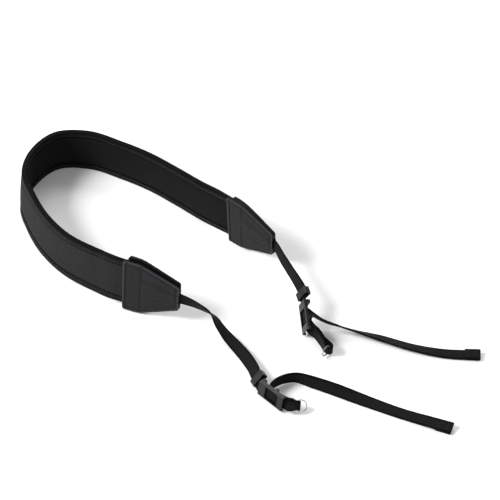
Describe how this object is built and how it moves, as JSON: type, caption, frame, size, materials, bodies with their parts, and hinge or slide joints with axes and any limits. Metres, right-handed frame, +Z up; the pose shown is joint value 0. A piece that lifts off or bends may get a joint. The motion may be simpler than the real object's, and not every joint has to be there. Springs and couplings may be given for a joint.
{
  "type": "camera neck strap",
  "caption": "Padded neck band on its long edge in a U, leather end tabs, and webbing ends with keeper, adjuster, loop, split ring and free tail.",
  "frame": {"origin": "on the surface it lies on, under the middle of the whole strap", "axes": "+Z up; +X from the bend of the U towards the free webbing tails, the longest extent; +Y towards the arm of the U whose grey outer face looks away from the other arm"},
  "size_m": [0.3799, 0.3237, 0.0492],
  "materials": {
    "jersey": "smooth black knit",
    "textile": "dark grey textured weave",
    "tape": "black grosgrain",
    "leather": "dark grey, fine grain, stitched",
    "webbing": "black ribbed webbing",
    "plastic": "satin moulded",
    "steel": "bright steel wire"
  },
  "bodies": {
    "root": {"neck_pad": "jersey", "outer_panel": "textile", "binding_lower": "tape", "binding_upper": "tape", "webbing_near_run": "webbing", "webbing_near_loop": "webbing", "webbing_near_tail": "webbing", "keeper_near": "plastic", "adjuster_near": "plastic", "split_ring_near": "steel", "webbing_far_run": "webbing", "webbing_far_loop": "webbing", "webbing_far_tail": "webbing", "keeper_far": "plastic", "adjuster_far": "plastic", "split_ring_far": "steel", "tab_near_outer": "leather", "tab_near_inner": "leather", "tab_far_outer": "leather", "tab_far_inner": "leather"}
  },
  "joints": []
}
